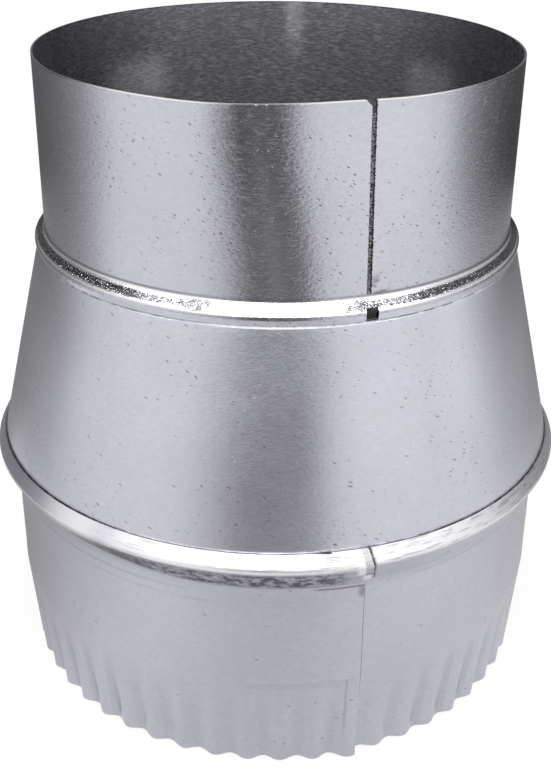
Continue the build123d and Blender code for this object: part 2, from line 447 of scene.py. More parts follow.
# upper collar: straight wall, open seam, bead turned out and down
upperCollar = {
    "rim": collarHigh.z / mm,
    "lip": collarLow.z / mm,
    "wall": 64.0,  # outer radius of the straight wall
    "beadRadius": collarHigh.x / mm,
    "root": 130.0,  # where the wall turns out into the bead
    "fall": 2.4,
    "turn": 1.4,
    "tuck": 0.25,
    "bends": (0.9, 1.1, 1.1),
    "runs": (1.5, 0.5, 0.4, 0.5),  # mm between rows on each straight, and degrees in a bend
    "bendStep": 9,
    "frontHalf": 100,  # degrees to each side that count as the front
    "frontStep": 0.45,  # degrees between columns in front and behind
    "backStep": 0.75,
    "seam": 19.8,  # azimuth of the open seam line
    "slit": 1.1,
    "slitDepth": 0.4,
    "slitShoulders": (0.97, 1.03),
    "clip": 1.5,
    "notch": 2.7,
    "notchTop": 128.2,
    "flat": 1.3,  # how far the rim is out of round beside the seam
    "flatAt": (15, 11),  # azimuth and spread
    "bulge": 0.8,
    "bulgeAt": (-13, 12),
    "waver": 0.1,
    "waverNoise": (3, 40, 0),  # turns, rise and seed
    "crinkle": 0.05,
    "crinkleScale": (0.7, 0.9, 3.0),  # by azimuth and height, and the seed
    "crinkleNoise": (9, 6, 11),
    # finish: noises, the edges of steps and bands, and colours
    "scratch": {"Lines per mm": 2.6, "Length mm": 0.55, "Detail": 3.0},
    "dashes": {"Lines per mm": 2.6, "Length mm": 2.4, "Detail": 2.0},
    "dashSteps": (0.5, 0.68, 0.0, 0.7),
    "dashRoughness": 0.32,
    "seamRagged": 1.1,  # mm
    "seamBand": (-0.75, -0.5, 0.5, 0.7),
    "seamFoot": (0.5, 1.2),
    "seamSpecks": (0.42, 0.62, 1.0, 0.55),
    "seamRoughness": 0.5,
    "rolled": {"Lines per mm": 2.2, "Length mm": 2.2, "Detail": 3.0},
    "rolledSteps": (0.42, 0.78),
    "insideShadeColours": ((0.34, 0.34, 0.367, 1), (0.56, 0.56, 0.602, 1)),
    "dullRoughness": (0.27, 0.33),
    "glintStreaks": (0.4, 0.8),
    "glintHeight": (17.0, 23.5, 27.5, 36.0),  # above the root
    "glintLeft": (-151.0, -142.0, -136.0, -122.0),
    "glintRight": (121.0, 131.0, 137.0, 145.0),
    "glintRightTint": 0.9,
    "glintBack": (171.5, 175.0, 176.5, 179.5),
    "glintBackHeight": (-20.0, -4.0),  # from the rim
    "glintBackTint": 0.7,
    "glintColour": (0.95, 0.95, 0.98, 1),
    "crownBand": (-0.35, 0.05, 0.7, 1.0),  # from the slope's foot
    "rootBand": (-0.6, -0.3, 0.1, 0.4),
    "brightSteps": (18.0, 48.0, 0.97, 0.35),
    "highlightWhite": (0.97, 0.97, 0.98, 1),
    "slopeBand": (0.35, 0.75, 1.75, 2.05),
    "slopeSteps": (18.0, 48.0, 0.7, 0.3),
    "slopeHighlightColour": (0.87, 0.87, 0.89, 1),
    "scoreRight": (1.6, 9.0),  # scores start further round on the right and close up sooner
    "scoreLimit": (10.0, 32.0, 0.34, 0.6),
    "scoreEdge": (-0.03, 0.05),
    "scoreTint": 0.95,
    "scoreDepth": 0.05,
    "scoreShadeColour": (0.06, 0.06, 0.066, 1),
    "shadeSteps": (48.0, 68.0, 0.0, 0.7),
    "shadeColour": (0.09, 0.09, 0.1, 1),
    "lineBand": (0.35, 0.55, 0.8, 1.3),
    "lineSteps": (4.0, 30.0, 0.25, 0.7),
    "rootShadeColour": (0.16, 0.16, 0.175, 1),
    "underBand": (-0.85, -0.72, -0.62, -0.5),
    "underBreaks": (0.4, 0.55),
    "underSteps": (18.0, 30.0, 0.6, 0.1),
    "crownShadeColour": (0.2, 0.2, 0.215, 1),
    "rimEdge": (-0.35, -0.1),
    "rimSteps": (30.0, 56.0, 0.95, 0.0),
    "dimEdge": (-0.3, -0.1),
    "dimSteps": (34.0, 60.0, 0.0, 0.95),
    "rimShadeColour": (0.07, 0.07, 0.075, 1),
    "seamPatches": {"Patch mm": 5.0, "Contrast": 2.2},
    "seamPatchArc": (0.5, 0.9, 2.6, 6.5),
    "seamPatchHeight": (0.5, 1.0, 3.0, 6.5),
    "seamPatchSteps": (0.28, 0.52),
    "seamPatchTint": 0.8,
    "seamPatchColour": (0.13, 0.13, 0.14, 1),
}


def seamArc(azimuth):  # mm to the right of the upper seam
    return math.radians(azimuth - upperCollar["seam"]) * upperCollar["wall"]


def upperCollarShape(azimuth, radius, height):
    c = upperCollar
    arc = seamArc(azimuth)
    if height > c["root"] + c["bends"][0]:
        radius += c["waver"] * ringNoise(azimuth, height, *c["waverNoise"])
        lean = ease(c["root"], c["rim"], height)
        radius -= c["flat"] * lean * (hump(*c["flatAt"], azimuth) - c["bulge"] * hump(*c["bulgeAt"], azimuth))
        rim = c["rim"]
        if abs(arc) < c["slit"] / 2:
            radius -= c["slitDepth"]
            rim -= 2 * c["clip"]
        elif -c["slit"] / 2 - c["clip"] < arc < 0:
            rim -= c["clip"] + (arc + c["slit"] / 2)
        height = min(height, rim)
    elif height < c["root"] - 0.2:
        slope = hump(c["root"] - c["fall"] / 2, c["fall"], height)
        across, along, seed = c["crinkleScale"]
        radius += c["crinkle"] * slope * noise.noise(Vector((azimuth * across, height * along, seed)))
        radius += 0.5 * c["crinkle"] * ringNoise(azimuth, height, *c["crinkleNoise"])
    return azimuth, radius, height


def upperCollarGone(azimuth, height):
    return abs(seamArc(azimuth)) < upperCollar["notch"] / 2 and height < upperCollar["notchTop"]


beadCorners = [
    (upperCollar["wall"], upperCollar["rim"]),
    (upperCollar["wall"], upperCollar["root"]),
    (upperCollar["beadRadius"], upperCollar["root"] - upperCollar["fall"]),
    (upperCollar["beadRadius"], upperCollar["lip"] + upperCollar["turn"]),
    (upperCollar["beadRadius"] - upperCollar["tuck"], upperCollar["lip"]),
]
beadLine = bentLine(beadCorners, upperCollar["bends"], upperCollar["runs"], upperCollar["bendStep"])
halfSlit = math.degrees(upperCollar["slit"] / 2 / upperCollar["wall"])
frontHalf = upperCollar["frontHalf"]
frontSteps = round(2 * frontHalf / upperCollar["frontStep"])
backSteps = round((360 - 2 * frontHalf) / upperCollar["backStep"])
collarAzimuths = sorted(
    set(spread(-frontHalf, frontHalf, frontSteps) + spread(frontHalf, 360 - frontHalf, backSteps)[1:-1])
    | {upperCollar["seam"] + side * halfSlit * reach for side in (-1, 1) for reach in upperCollar["slitShoulders"]}
)
collarPiece = rolledSheet(
    "upper_collar_sheet",
    beadLine,
    offsetLine(beadLine, sheetThickness),
    collarAzimuths,
    upperCollarShape,
    True,
    upperCollarGone,
)


def upperCollarDetails(tree, colour, rough, height):
    c = upperCollar
    azimuth, level, _ = ringAxes(tree)
    wide = mathNode(tree, "ABSOLUTE", azimuth)
    arc = mathNode(tree, "MULTIPLY", mathNode(tree, "SUBTRACT", azimuth, c["seam"]), math.radians(c["wall"]))
    scratch = placeGroup(tree, grainGroup, c["scratch"])["Height"]
    # short dull dashes in the zinc, which catch light where the sheet mirrors something dark
    dashes = placeGroup(tree, grainGroup, c["dashes"])
    rough = mixNode(tree, rough, stepNode(tree, dashes["Height"], *c["dashSteps"]), c["dashRoughness"])
    # painted shade: the seam's groove is painted near-black for the shade in its depth, with ragged edges and a few
    # bright specks
    ragged = productNode(tree, mathNode(tree, "SUBTRACT", scratch, 0.5), c["seamRagged"])
    seam = productNode(
        tree,
        bandNode(tree, mathNode(tree, "ADD", arc, ragged), *c["seamBand"]),
        stepAt(tree, level, c["root"], c["seamFoot"]),
    )
    colour = paintNode(tree, colour, productNode(tree, seam, stepNode(tree, scratch, *c["seamSpecks"])), paintedShadeColour)
    rough = mixNode(tree, rough, seam, c["seamRoughness"])
    # inside, the sheet is smooth and rougher, painted darker than the outside as painted shade for the dim inside of
    # the duct, and shows its rolling streaks
    inside = productNode(tree, innerFace(tree), stepNode(tree, level, c["root"], c["root"] + 1.0))
    rolled = stepNode(tree, placeGroup(tree, grainGroup, c["rolled"])["Height"], *c["rolledSteps"])
    insideShadeDark, insideShadeLight = c["insideShadeColours"]
    colour = paintNode(tree, colour, inside, paintNode(tree, insideShadeDark, rolled, insideShadeLight))
    roughLow, roughHigh = c["dullRoughness"]
    rough = mixNode(tree, rough, inside, mixNode(tree, roughLow, rolled, roughHigh))
    height = mixNode(tree, height, inside, 0.0)
    # painted reflections: bright patches painted inside in place of glints of light on the wall, two low on the back
    # wall, and a streak under the rim
    streaks, least = c["glintStreaks"]
    glintMottle = mathNode(tree, "ADD", productNode(tree, rolled, streaks), least)
    low = bandAt(tree, level, c["root"], c["glintHeight"])
    glintLeft = productNode(tree, low, bandNode(tree, azimuth, *c["glintLeft"]))
    glintRight = productNode(tree, low, bandNode(tree, azimuth, *c["glintRight"]), c["glintRightTint"])
    glintBack = productNode(
        tree,
        stepAt(tree, level, c["rim"], c["glintBackHeight"], 0.0, c["glintBackTint"]),
        bandNode(tree, azimuth, *c["glintBack"]),
    )
    glint = mathNode(tree, "MAXIMUM", mathNode(tree, "MAXIMUM", glintLeft, glintRight), glintBack)
    colour = paintNode(tree, colour, productNode(tree, inside, glint, glintMottle), c["glintColour"])
    # painted highlights and shade: the bead's crown and root are painted bright in front, the slope between them is
    # painted pale in front and dark far round the sides, and it is scored towards the sides, the scores cut into the
    # bump and painted dark for the dark room they mirror
    foot = c["root"] - c["fall"]
    bright = mathNode(
        tree, "MAXIMUM", bandAt(tree, level, foot, c["crownBand"]), bandAt(tree, level, c["root"], c["rootBand"])
    )
    shine = productNode(tree, bright, stepNode(tree, wide, *c["brightSteps"]))
    colour = paintNode(tree, colour, shine, c["highlightWhite"])
    slope = bandAt(tree, level, foot, c["slopeBand"])
    scale, shift = c["scoreRight"]
    rightScoreSpread = mathNode(tree, "SUBTRACT", productNode(tree, azimuth, scale), shift)
    scoreSpread = mathNode(tree, "MAXIMUM", mathNode(tree, "MULTIPLY", azimuth, -1.0), rightScoreSpread)
    scoreReach = mathNode(tree, "SUBTRACT", stepNode(tree, scoreSpread, *c["scoreLimit"]), scratch)
    scored = productNode(tree, slope, stepNode(tree, scoreReach, *c["scoreEdge"]))
    colour = paintNode(tree, colour, productNode(tree, slope, stepNode(tree, wide, *c["slopeSteps"])), c["slopeHighlightColour"])
    colour = paintNode(tree, colour, productNode(tree, scored, c["scoreTint"]), c["scoreShadeColour"])
    height = mathNode(tree, "SUBTRACT", height, productNode(tree, scored, c["scoreDepth"]))
    colour = paintNode(tree, colour, productNode(tree, slope, stepNode(tree, wide, *c["shadeSteps"])), c["shadeColour"])
    # painted shade: a dark line painted on the wall above the bead, and a fine broken one under its crown
    above = productNode(tree, bandAt(tree, level, c["root"], c["lineBand"]), stepNode(tree, wide, *c["lineSteps"]))
    colour = paintNode(tree, colour, above, c["rootShadeColour"])
    under = productNode(
        tree,
        bandAt(tree, level, foot, c["underBand"]),
        stepNode(tree, scratch, *c["underBreaks"]),
        stepNode(tree, wide, *c["underSteps"]),
    )
    colour = paintNode(tree, colour, under, c["crownShadeColour"])
    # painted highlight and shade: the rim's edge is painted bright in front and dark at the sides and behind
    for edge, steps, paint in (("rimEdge", "rimSteps", "highlightWhite"), ("dimEdge", "dimSteps", "rimShadeColour")):
        mask = productNode(tree, stepAt(tree, level, c["rim"], c[edge]), stepNode(tree, wide, *c[steps]))
        colour = paintNode(tree, colour, mask, c[paint])
    # a darker mottled patch right of the seam, just above the bead
    seamPatch = productNode(
        tree,
        bandNode(tree, arc, *c["seamPatchArc"]),
        bandAt(tree, level, c["root"], c["seamPatchHeight"]),
        stepNode(tree, placeGroup(tree, filmGroup, c["seamPatches"])["Mask"], *c["seamPatchSteps"]),
    )
    colour = paintNode(tree, colour, productNode(tree, seamPatch, c["seamPatchTint"]), c["seamPatchColour"])
    return colour, rough, height


print("upper collar rolled", len(collarPiece.data.polygons))

# taper: cone with a narrow neck under the upper bead and a hem inside the lower one
taper = {
    "top": taperHigh.z / mm,
    "bottom": taperLow.z / mm,
    "topLip": collarLow.z / mm,
    "bottomLip": crimpedHigh.z / mm,
    "neck": upperCollar["beadRadius"] - upperCollar["tuck"] - sheetThickness - lockGap,
    "tip": upperCollar["beadRadius"] - sheetThickness - lockGap,
    "neckDepth": 0.5,
    "neckLength": 0.8,
    "bottomRadius": 79.25,
    "hemRadius": taperHigh.x / mm,
    "columns": 480,
    "bends": (0.05, 0.1, 0.2, 2.0, 0.05),
    "outerRuns": (1, 1, 1, 2.5, 1, 1),  # mm between rows on each straight, and degrees in a bend
    "outerBendStep": 12,
    "innerRuns": (1, 1, 1, 6, 2, 1),
    "innerBendStep": 25,
    "waver": 0.1,
    "waverEnd": 6,  # mm from each lip, where the cone is held round
    "waverNoise": (2.5, 60, 7),
    # finish
    "rightFlank": (30.0, 48.0, 58.0, 88.0),
    "rightTint": 0.75,
    "leftFlank": (-88.0, -58.0, -48.0, -34.0),
    "leftTint": 0.4,
    "flankSteps": (78.0, 108.0, 0.35, 1.0),
    "flankHighlightColour": (0.9, 0.9, 0.985, 1),
    "topGap": (-0.9, -0.3),
    "bottomGap": (0.0, 0.4),
    "ragged": {"Patch mm": 2.5, "Contrast": 2.4},
    "raggedSteps": (0.25, 0.7, 0.15, 0.75),
    "front": -4.0,  # azimuth where the gap lines are faintest
    "frontSteps": (12.0, 34.0, 0.3, 1.0),
    "gapShadeColour": (0.06, 0.06, 0.065, 1),
    "notchSpan": (-1.6, -1.3, 1.3, 1.6),
    "notchFoot": (-0.1, 0.2),
}


def taperShape(azimuth, radius, height):
    t = taper
    end = t["waverEnd"]
    free = ease(t["bottomLip"], t["bottomLip"] + end, height) * ease(t["topLip"], t["topLip"] - end, height)
    return azimuth, radius + t["waver"] * free * ringNoise(azimuth, height, *t["waverNoise"]), height


taperCorners = [
    (taper["tip"], taper["top"] - sheetThickness),
    (taper["neck"], taper["top"] - sheetThickness),
    (taper["neck"], taper["topLip"]),
    (taper["neck"] + taper["neckDepth"], taper["topLip"] - taper["neckLength"]),
    (taper["bottomRadius"], taper["bottomLip"]),
    (taper["bottomRadius"], taper["bottom"] + sheetThickness),
    (taper["hemRadius"], taper["bottom"] + sheetThickness),
]
taperLines = [
    bentLine(taperCorners, taper["bends"], taper[face + "Runs"], taper[face + "BendStep"])
    for face in ("outer", "inner")
]
taperPiece = rolledSheet(
    "taper_sheet",
    taperLines[0],
    offsetLine(taperLines[1], sheetThickness),
    spread(-180, 180, taper["columns"])[:-1],
    taperShape,
    True,
)


def taperDetails(tree, colour, rough, height):
    t = taper
    azimuth, level, _ = ringAxes(tree)
    # painted reflection: the flanks are painted paler, the right one more so, for the bright sides of the room they
    # mirror
    sides = [
        productNode(tree, bandNode(tree, azimuth, *t[side + "Flank"]), t[side + "Tint"]) for side in ("right", "left")
    ]
    flankHighlight = productNode(tree, mathNode(tree, "ADD", *sides), stepNode(tree, level, *t["flankSteps"]))
    colour = paintNode(tree, colour, flankHighlight, t["flankHighlightColour"])
    # painted shade: dark broken lines painted in the gaps beside the two lips, faint in front
    gaps = mathNode(
        tree,
        "ADD",
        stepAt(tree, level, t["topLip"], t["topGap"]),
        stepAt(tree, level, t["bottomLip"], t["bottomGap"], 1.0, 0.0),
    )
    offFront = mathNode(tree, "ABSOLUTE", mathNode(tree, "SUBTRACT", azimuth, t["front"]))
    gaps = productNode(
        tree,
        gaps,
        stepNode(tree, placeGroup(tree, filmGroup, t["ragged"])["Mask"], *t["raggedSteps"]),
        stepNode(tree, offFront, *t["frontSteps"]),
    )
    colour = paintNode(tree, colour, gaps, t["gapShadeColour"])
    # shade behind the notch in the upper bead
    notch = productNode(
        tree,
        bandAt(tree, azimuth, upperCollar["seam"], t["notchSpan"]),
        stepAt(tree, level, t["topLip"], t["notchFoot"]),
    )
    colour = paintNode(tree, colour, notch, paintedShadeColour)
    return colour, rough, height


print("taper rolled", len(taperPiece.data.polygons))

# crimped collar: one strip that laps over itself at the seam, beaded above and crimped below
crimpedCollar = {
    "wall": 77.0,
    "lip": crimpedHigh.z / mm,
    "lipReach": 2.9,
    "lipFall": 3.7,
    "beadReach": 5.0,
    "root": 58.0,
    "bends": (1.3, 6.0),
    "crimpStart": 28.5,
    "crimps": 52,
    "lapPitches": 11,
    "seam": 17.0,
    "tab": 2.1,
    "tabHeight": 59.7,
    "tabSlant": (0.6, -0.15),  # share of the tab's reach at its foot and at the lip
    "columnsPerCrimp": 14,
    "rim": (2.2, 4.0),  # how far crest and valley sit inside the wall at the rim
    "flare": 1.6,
    "tabRise": 0.3,
    "leanHeight": 3.5,  # the lap's lip leans in over this height, left of these azimuths
    "leanSpan": (9.8, 6.0),
    "uneven": (0.8, 0.2),  # how much the crimps' tops and depths vary
    "unevenNoise": (9, 1, 4),
    "wrinkle": 0.14,
    "wrinkleAt": (3.5, 3.0),  # above the root, and its spread
    "wrinkleSpan": ((-50, -36), (19, 14)),
    "wrinkleScale": (0.8, 0.35, 8.0),
    "slack": 0.06,
    "slackRise": 6,
    "slackNoise": (3, 30, 20),
    "outerRuns": (0.6, 0.7, 1.0),
    "outerBendStep": 8,
    "innerRuns": (1.5, 2.5, 2.5),
    "innerBendStep": 22,
    # finish
    "ragged": {"Patch mm": 3.5, "Contrast": 2.4},
    "streaky": {"Lines per mm": 1.6, "Length mm": 7.0, "Detail": 4.0},
    "wrinkles": {"Lines per mm": 0.6, "Length mm": 2.2, "Detail": 2.0},
    "creaseTurn": (-42.0, -12.0),  # between these azimuths the crease's foot comes down
    "creaseFoot": (4.2, 1.2),
    "creaseTop": (3.4, 6.0),
    "creaseFootEdge": (-0.5, 1.2),
    "creaseTopEdge": (-0.9, 0.5, 1.0, 0.0),
    "creaseSpan": (-46.0, -36.0, 8.0, 18.0),
    "creaseClear": (-34.0, -14.0, 0.75, 0.2),
    "creaseMottle": (0.38, 0.64),
    "creaseTint": 0.92,
    "creaseRoughness": 0.42,
    "creaseHeight": 0.3,
    "creaseShadeColour": (0.09, 0.09, 0.1, 1),
    "front": -6.0,  # azimuth where the bead is brightest
    "beadTopFoot": (-1.4, -0.6),  # from the crown
    "beadTopSpan": (-46.0, -16.0, 60.0, 90.0),
    "beadTopHighlightSteps": (14.0, 34.0, 0.95, 0.6),
    "beadTopHighlight": (0.94, 0.94, 0.96, 1),
    "streakEdge": (0.5, 0.66),
    "streakSteps": (8.0, 22.0, 0.1, 0.6),
    "streakHeight": 0.1,
    "streakShadeColour": (0.3, 0.3, 0.32, 1),
    "blobFoot": (4.5, 8.0),
    "blobSpan": (-52.0, -43.0, -39.0, -31.0),
    "blobTint": 0.7,
    # faint dark lines below the bead: mm below the root, azimuths of both ends, tint
    "faintLines": ((2.0, -66.0, -12.0, 0.24), (4.6, -50.0, -4.0, 0.14), (0.6, 20.0, 62.0, 0.2)),
    "faintLineBand": (-0.7, -0.1, 0.1, 0.7),
    "faintLineFade": 15,
    "faintLineColour": (0.2, 0.2, 0.215, 1),
    "valleyEdge": (-0.1, 0.95),
    "valleyTop": (-14.0, 1.0, 1.0, 0.0),
    "valleySteps": (14.0, 44.0, 0.07, 0.24),
    "valleyShadeColour": (0.26, 0.26, 0.295, 1),
    "crimpTopBand": (-3.5, -0.9, -0.5, 0.1),
    "crimpTopSpan": (-26.0, -20.0, -1.5, -0.5),
    "lastCrimpSpan": (-3.1, -2.8, -2.6, -2.2),
    "lastCrimpBand": (6.0, 14.0, 27.5, 28.5),
    "crimpTints": (0.1, 0.26),
    "crimpShadeColour": (0.2, 0.2, 0.23, 1),
    "lapEdge": (-0.02, 0.02),
    "lapShade": (0.25, 0.4, 0.95),  # degrees: full, and faded on the wall and on the tab
    "lapRagged": (0.2, 0.7, 0.98, 0.7),
    "fold": 3.4,  # mm from the tab's foot to the strap's fold
    "foldEdge": (-0.2, 0.2),
    "foldBand": (-0.35, -0.1, 0.1, 0.35),
    "foldSpan": (-1.7, -1.4, -0.1, 0.0),
    "besideSpan": (-3.4, -2.3, -1.7, -1.1),
    "strapSpan": (-1.7, -1.1, -0.1, 0.0),
    "curlBand": (0.0, 1.2, 2.5, 3.2),
    "curlSpan": (-2.3, -1.4, -0.7, -0.1),
    "strapWhite": (0.95, 0.95, 0.97, 1),
    "strapGrey": (0.46, 0.46, 0.49, 1),
    "strapDark": (0.08, 0.08, 0.09, 1),
    "strapTints": (0.85, 0.6, 0.8, 0.7),
    "cornerSpan": (-10.5, -8.0, -0.2, 0.0),
    "cornerBand": (-0.5, -0.2, 0.1, 0.5),
    "cornerTint": 0.55,
    "spotSpan": (-1.6, -0.5, -0.1, 0.0),
    "spotBand": (-4.5, -2.5, -0.8, 0.4),
    "spotSteps": (0.2, 0.6),
    "spotTint": 0.6,
    "spotColour": (0.12, 0.12, 0.13, 1),
}
crimpPitch = 360 / crimpedCollar["crimps"]
lapStart = crimpedCollar["seam"] - crimpedCollar["lapPitches"] * crimpPitch
sheetStart = lapStart - (crimpedCollar["crimps"] + 1 - crimpedCollar["lapPitches"]) * crimpPitch
lapTurn = math.radians((crimpedCollar["lapPitches"] - 1) * crimpPitch)
lapShift = (sheetThickness + lockGap) / (1 - math.cos(lapTurn))


def lapRise(azimuth):  # how far the lap has climbed over the sheet below
    return lapShift * (1 - math.cos(math.radians(max(0.0, azimuth - lapStart))))


def crimpedCollarShape(azimuth, radius, height):
    c = crimpedCollar
    lastPart = clamp((azimuth - (c["seam"] - crimpPitch)) / crimpPitch)
    climb = clamp((height - c["tabHeight"]) / (c["lip"] - c["tabHeight"]))
    reach = c["tabSlant"][0] + (c["tabSlant"][1] - c["tabSlant"][0]) * climb
    place = azimuth + c["tab"] * reach * lastPart * ease(c["tabHeight"], c["tabHeight"] + c["tabRise"], height)
    leanIn = ease(c["lip"] - c["leanHeight"], c["lip"], height) * ease(*c["leanSpan"], azimuth)
    radius += lapRise(azimuth) * (1 - leanIn)
    vary = ringNoise(azimuth, 0, *c["unevenNoise"])
    start = c["crimpStart"] + c["uneven"][0] * vary
    if height < start:
        down = (start - height) / start
        crest, valley = c["rim"]
        middle, swing = (valley + crest) / 2, (valley - crest) / 2
        wave = -math.sin(2 * math.pi * (azimuth - sheetStart) / crimpPitch)
        radius -= down * (middle - swing * wave * (1 + c["uneven"][1] * vary))
        radius += c["flare"] * lastPart ** 2 * down ** 2
    else:
        rise, width = c["wrinkleAt"]
        left, right = c["wrinkleSpan"]
        across, along, seed = c["wrinkleScale"]
        crease = hump(c["root"] + rise, width, height) * ease(*left, azimuth) * ease(*right, azimuth)
        radius += c["wrinkle"] * crease * noise.noise(Vector((azimuth * across, height * along, seed)))
        slack = 1 + ringNoise(azimuth, height, *c["slackNoise"])
        radius -= c["slack"] * ease(start, start + c["slackRise"], height) * slack
    return place, radius, height


crimpedCorners = [
    (crimpedCollar["wall"] + crimpedCollar["lipReach"], crimpedCollar["lip"]),
    (crimpedCollar["wall"] + crimpedCollar["beadReach"], crimpedCollar["lip"] - crimpedCollar["lipFall"]),
    (crimpedCollar["wall"], crimpedCollar["root"]),
    (crimpedCollar["wall"], 0.0),
]
crimpedLines = [
    bentLine(crimpedCorners, crimpedCollar["bends"], crimpedCollar[face + "Runs"], crimpedCollar[face + "BendStep"])
    for face in ("outer", "inner")
]
crimpedPiece = rolledSheet(
    "crimped_collar_sheet",
    crimpedLines[0],
    offsetLine(crimpedLines[1], sheetThickness),
    spread(sheetStart, crimpedCollar["seam"], (crimpedCollar["crimps"] + 1) * crimpedCollar["columnsPerCrimp"]),
    crimpedCollarShape,
    False,
)


def crimpedCollarDetails(tree, colour, rough, height):
    c = crimpedCollar
    azimuth, level, _ = ringAxes(tree)
    ragged = placeGroup(tree, filmGroup, c["ragged"])["Mask"]
    streaky = placeGroup(tree, grainGroup, c["streaky"])["Height"]
    wrinkles = placeGroup(tree, grainGroup, c["wrinkles"])["Height"]
    # painted shade: the crease under the bead is painted dark and made rougher, smooth at the left, mottled and
    # wrinkled in front
    creaseLow = stepNode(tree, azimuth, *c["creaseTurn"], *[c["root"] + rise for rise in c["creaseFoot"]])
    swing, rise = c["creaseTop"]
    creaseTop = mathNode(tree, "ADD", productNode(tree, wrinkles, swing), c["root"] + rise)
    crease = productNode(
        tree,
        stepNode(tree, mathNode(tree, "SUBTRACT", level, creaseLow), *c["creaseFootEdge"]),
        stepNode(tree, mathNode(tree, "SUBTRACT", level, creaseTop), *c["creaseTopEdge"]),
        bandNode(tree, azimuth, *c["creaseSpan"]),
    )
    clear = stepNode(tree, azimuth, *c["creaseClear"])
    dark = productNode(tree, crease, stepNode(tree, wrinkles, *c["creaseMottle"], 1.0, clear))
    colour = paintNode(tree, colour, productNode(tree, dark, c["creaseTint"]), c["creaseShadeColour"])
    rough = mixNode(tree, rough, crease, c["creaseRoughness"])
    height = mathNode(tree, "ADD", height, productNode(tree, crease, wrinkles, c["creaseHeight"]))
    # painted highlight: the bead's top face is painted bright in front, with dark streaks painted towards the sides,
    # the streaks also in the bump, and a bright blob painted at the left
    beadTop = productNode(
        tree,
        stepAt(tree, level, c["lip"] - c["lipFall"], c["beadTopFoot"]),
        bandNode(tree, azimuth, *c["beadTopSpan"]),
    )
    offFront = mathNode(tree, "ABSOLUTE", mathNode(tree, "SUBTRACT", azimuth, c["front"]))
    shine = productNode(tree, beadTop, stepNode(tree, offFront, *c["beadTopHighlightSteps"]))
    colour = paintNode(tree, colour, shine, c["beadTopHighlight"])
    streaks = productNode(
        tree, beadTop, stepNode(tree, streaky, *c["streakEdge"]), stepNode(tree, offFront, *c["streakSteps"])
    )
    colour = paintNode(tree, colour, streaks, c["streakShadeColour"])
    height = mathNode(tree, "ADD", height, productNode(tree, beadTop, streaky, c["streakHeight"]))
    blob = productNode(tree, stepAt(tree, level, c["root"], c["blobFoot"]), bandNode(tree, azimuth, *c["blobSpan"]))
    colour = paintNode(tree, colour, productNode(tree, blob, c["blobTint"]), c["beadTopHighlight"])
    # faint dark lines below the bead
    for drop, start, end, tint in c["faintLines"]:
        line = bandAt(tree, level, c["root"] - drop, c["faintLineBand"])
        along = bandNode(tree, azimuth, start, start + c["faintLineFade"], end - c["faintLineFade"], end)
        colour = paintNode(tree, colour, productNode(tree, line, along, tint), c["faintLineColour"])
    # painted shade: the crimps' valleys are painted darker than their crests, more at the sides, and dark lines are
    # painted along the tops of the crimps beside the seam and down the last crimp
    turns = mathNode(tree, "MULTIPLY", mathNode(tree, "SUBTRACT", azimuth, sheetStart), math.radians(c["crimps"]))
    valley = productNode(
        tree,
        stepNode(tree, mathNode(tree, "SINE", turns), *c["valleyEdge"]),
        stepAt(tree, level, c["crimpStart"], c["valleyTop"][:2], *c["valleyTop"][2:]),
        stepNode(tree, mathNode(tree, "ABSOLUTE", azimuth), *c["valleySteps"]),
    )
    colour = paintNode(tree, colour, valley, c["valleyShadeColour"])
    crimpTop = productNode(
        tree,
        bandAt(tree, level, c["crimpStart"], c["crimpTopBand"]),
        bandAt(tree, azimuth, c["seam"], c["crimpTopSpan"]),
    )
    lastCrimp = productNode(
        tree, bandAt(tree, azimuth, c["seam"], c["lastCrimpSpan"]), bandNode(tree, level, *c["lastCrimpBand"])
    )
    for mask, tint in zip((crimpTop, lastCrimp), c["crimpTints"]):
        colour = paintNode(tree, colour, productNode(tree, mask, tint), c["crimpShadeColour"])
    # shade in the step beside the lap's edge
    onTab = stepAt(tree, level, c["tabHeight"], (-c["tabRise"], c["tabRise"]))
    climb = mathNode(tree, "DIVIDE", mathNode(tree, "SUBTRACT", level, c["tabHeight"]), c["lip"] - c["tabHeight"])
    reach = mixNode(tree, c["tab"] * c["tabSlant"][0], climb, c["tab"] * c["tabSlant"][1])
    past = mathNode(tree, "SUBTRACT", azimuth, mathNode(tree, "ADD", productNode(tree, onTab, reach), c["seam"]))
    full, wallFade, tabFade = c["lapShade"]
    fade = stepNode(tree, onTab, 0.0, 1.0, wallFade, tabFade)
    shade = productNode(tree, stepNode(tree, past, *c["lapEdge"]), stepNode(tree, past, full, fade, 1.0, 0.0))
    colour = paintNode(tree, colour, productNode(tree, shade, stepNode(tree, ragged, *c["lapRagged"])), paintedShadeColour)
    # painted highlights and shade on the strap at the bead's end: painted white beside its fold, grey on its face,
    # curled up white below a painted dark line
    fold = c["tabHeight"] + c["fold"]
    upper = stepAt(tree, level, fold, c["foldEdge"])
    beside = productNode(tree, bandNode(tree, past, *c["besideSpan"]), upper)
    strap = productNode(tree, bandNode(tree, past, *c["strapSpan"]), upper)
    foldLine = productNode(tree, bandAt(tree, level, fold, c["foldBand"]), bandNode(tree, past, *c["foldSpan"]))
    curled = productNode(
        tree, bandAt(tree, level, c["tabHeight"], c["curlBand"]), bandNode(tree, past, *c["curlSpan"])
    )
    paints = [c["strap" + name] for name in ("White", "Grey", "Dark", "White")]
    for mask, tint, paint in zip((beside, strap, foldLine, curled), c["strapTints"], paints):
        colour = paintNode(tree, colour, productNode(tree, mask, tint), paint)
